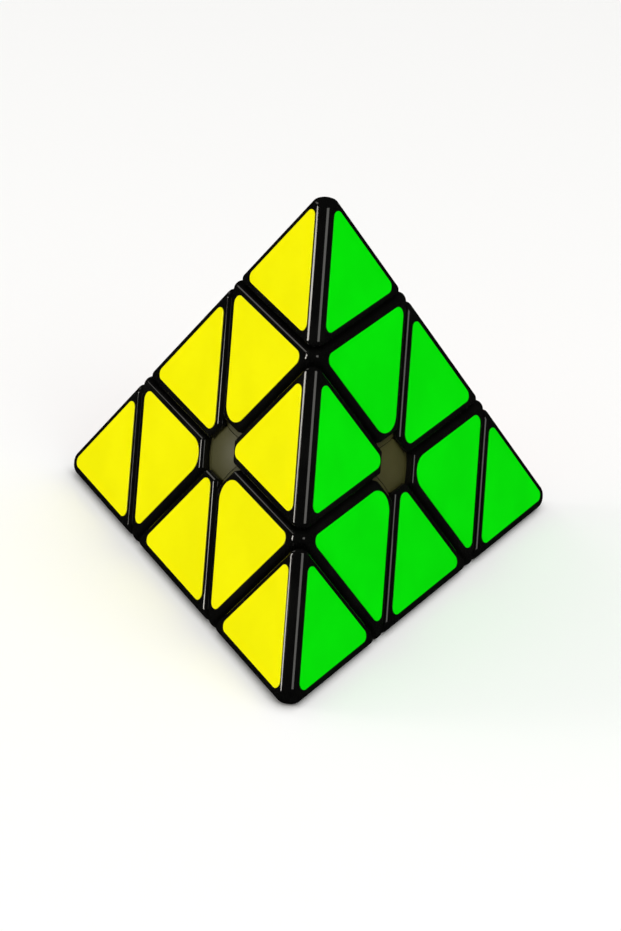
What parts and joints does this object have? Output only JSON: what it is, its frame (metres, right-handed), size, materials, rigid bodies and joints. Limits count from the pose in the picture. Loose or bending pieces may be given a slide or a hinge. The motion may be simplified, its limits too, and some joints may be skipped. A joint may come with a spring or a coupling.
{
  "type": "pyramid twisty puzzle",
  "caption": "Pyramid-shaped twisty puzzle with turning corner layers, free tips and coloured face tiles on black plastic.",
  "frame": {"origin": "centre of the core, where the four turning axes meet, which is also the centroid of the pyramid", "axes": "+Z from the centre to the top corner; -Y towards the front corner, so the yellow face looks left and forward and the green face right and forward; +X to the right; the blue face is the flat base"},
  "size_m": [0.0994, 0.087, 0.0822],
  "materials": {
    "black_plastic": "glossy injection-moulded black plastic with softly rounded edges",
    "grey_plastic": "satin brown-grey plastic of the hidden core",
    "steel": "plain zinc-plated steel of the screws and springs",
    "yellow_vinyl": "smooth saturated yellow vinyl tile",
    "green_vinyl": "smooth saturated green vinyl tile",
    "red_vinyl": "smooth saturated red vinyl tile",
    "blue_vinyl": "smooth saturated blue vinyl tile"
  },
  "bodies": {
    "core": {"core": "grey_plastic", "screw_top": "steel", "screw_left": "steel", "screw_right": "steel", "screw_front": "steel", "spring_top": "steel", "spring_left": "steel", "spring_right": "steel", "spring_front": "steel"},
    "corner_top": {"corner_top": "black_plastic", "sticker_yellow_corner_top": "yellow_vinyl", "sticker_green_corner_top": "green_vinyl", "sticker_red_corner_top": "red_vinyl"},
    "tip_top": {"tip_top": "black_plastic", "sticker_yellow_tip_top": "yellow_vinyl", "sticker_green_tip_top": "green_vinyl", "sticker_red_tip_top": "red_vinyl"},
    "corner_left": {"corner_left": "black_plastic", "sticker_yellow_corner_left": "yellow_vinyl", "sticker_red_corner_left": "red_vinyl", "sticker_blue_corner_left": "blue_vinyl"},
    "tip_left": {"tip_left": "black_plastic", "sticker_yellow_tip_left": "yellow_vinyl", "sticker_red_tip_left": "red_vinyl", "sticker_blue_tip_left": "blue_vinyl"},
    "corner_right": {"corner_right": "black_plastic", "sticker_green_corner_right": "green_vinyl", "sticker_red_corner_right": "red_vinyl", "sticker_blue_corner_right": "blue_vinyl"},
    "tip_right": {"tip_right": "black_plastic", "sticker_green_tip_right": "green_vinyl", "sticker_red_tip_right": "red_vinyl", "sticker_blue_tip_right": "blue_vinyl"},
    "corner_front": {"corner_front": "black_plastic", "sticker_yellow_corner_front": "yellow_vinyl", "sticker_green_corner_front": "green_vinyl", "sticker_blue_corner_front": "blue_vinyl"},
    "tip_front": {"tip_front": "black_plastic", "sticker_yellow_tip_front": "yellow_vinyl", "sticker_green_tip_front": "green_vinyl", "sticker_blue_tip_front": "blue_vinyl"},
    "edge_top_left": {"edge_top_left": "black_plastic", "sticker_yellow_edge_top_left": "yellow_vinyl", "sticker_red_edge_top_left": "red_vinyl"},
    "edge_top_right": {"edge_top_right": "black_plastic", "sticker_green_edge_top_right": "green_vinyl", "sticker_red_edge_top_right": "red_vinyl"},
    "edge_top_front": {"edge_top_front": "black_plastic", "sticker_yellow_edge_top_front": "yellow_vinyl", "sticker_green_edge_top_front": "green_vinyl"},
    "edge_left_right": {"edge_left_right": "black_plastic", "sticker_red_edge_left_right": "red_vinyl", "sticker_blue_edge_left_right": "blue_vinyl"},
    "edge_left_front": {"edge_left_front": "black_plastic", "sticker_yellow_edge_left_front": "yellow_vinyl", "sticker_blue_edge_left_front": "blue_vinyl"},
    "edge_right_front": {"edge_right_front": "black_plastic", "sticker_green_edge_right_front": "green_vinyl", "sticker_blue_edge_right_front": "blue_vinyl"}
  },
  "joints": [
    {"name": "turn_top", "type": "hinge", "parent": "core", "child": "corner_top", "pos_m": [0, 0, 0], "axis": [0, 0, 1], "continuous": true},
    {"name": "turn_left", "type": "hinge", "parent": "core", "child": "corner_left", "pos_m": [0, 0, 0], "axis": [-0.8165, 0.4714, -0.3333], "range_deg": [-360, 360]},
    {"name": "turn_right", "type": "hinge", "parent": "core", "child": "corner_right", "pos_m": [0, 0, 0], "axis": [0.8165, 0.4714, -0.3333], "range_deg": [-360, 360]},
    {"name": "turn_front", "type": "hinge", "parent": "core", "child": "corner_front", "pos_m": [0, 0, 0], "axis": [0, -0.9428, -0.3333], "range_deg": [-360, 360]},
    {"name": "twist_tip_top", "type": "hinge", "parent": "corner_top", "child": "tip_top", "pos_m": [0, 0, 0], "axis": [0, 0, 1], "continuous": true},
    {"name": "twist_tip_left", "type": "hinge", "parent": "corner_left", "child": "tip_left", "pos_m": [0, 0, 0], "axis": [-0.8165, 0.4714, -0.3333], "continuous": true},
    {"name": "twist_tip_right", "type": "hinge", "parent": "corner_right", "child": "tip_right", "pos_m": [0, 0, 0], "axis": [0.8165, 0.4714, -0.3333], "continuous": true},
    {"name": "twist_tip_front", "type": "hinge", "parent": "corner_front", "child": "tip_front", "pos_m": [0, 0, 0], "axis": [0, -0.9428, -0.3333], "continuous": true},
    {"name": "edge_top_left_with_left", "type": "hinge", "parent": "corner_top", "child": "edge_top_left", "pos_m": [0, 0, 0], "axis": [-0.8165, 0.4714, -0.3333], "range_deg": [-360, 360]},
    {"name": "edge_top_right_with_right", "type": "hinge", "parent": "corner_top", "child": "edge_top_right", "pos_m": [0, 0, 0], "axis": [0.8165, 0.4714, -0.3333], "range_deg": [-360, 360]},
    {"name": "edge_top_front_with_front", "type": "hinge", "parent": "corner_top", "child": "edge_top_front", "pos_m": [0, 0, 0], "axis": [0, -0.9428, -0.3333], "range_deg": [-360, 360]},
    {"name": "edge_left_front_with_front", "type": "hinge", "parent": "corner_left", "child": "edge_left_front", "pos_m": [0, 0, 0], "axis": [0, -0.9428, -0.3333], "range_deg": [-360, 360]},
    {"name": "edge_right_front_with_right", "type": "hinge", "parent": "corner_front", "child": "edge_right_front", "pos_m": [0, 0, 0], "axis": [0.8165, 0.4714, -0.3333], "range_deg": [-360, 360]},
    {"name": "edge_left_right_with_left", "type": "hinge", "parent": "corner_right", "child": "edge_left_right", "pos_m": [0, 0, 0], "axis": [-0.8165, 0.4714, -0.3333], "range_deg": [-360, 360]}
  ],
  "couplings": [
    {"joint": "edge_top_left_with_left", "follows": "turn_left", "ratio": 1},
    {"joint": "edge_top_right_with_right", "follows": "turn_right", "ratio": 1},
    {"joint": "edge_top_front_with_front", "follows": "turn_front", "ratio": 1},
    {"joint": "edge_left_front_with_front", "follows": "turn_front", "ratio": 1},
    {"joint": "edge_right_front_with_right", "follows": "turn_right", "ratio": 1},
    {"joint": "edge_left_right_with_left", "follows": "turn_left", "ratio": 1}
  ]
}
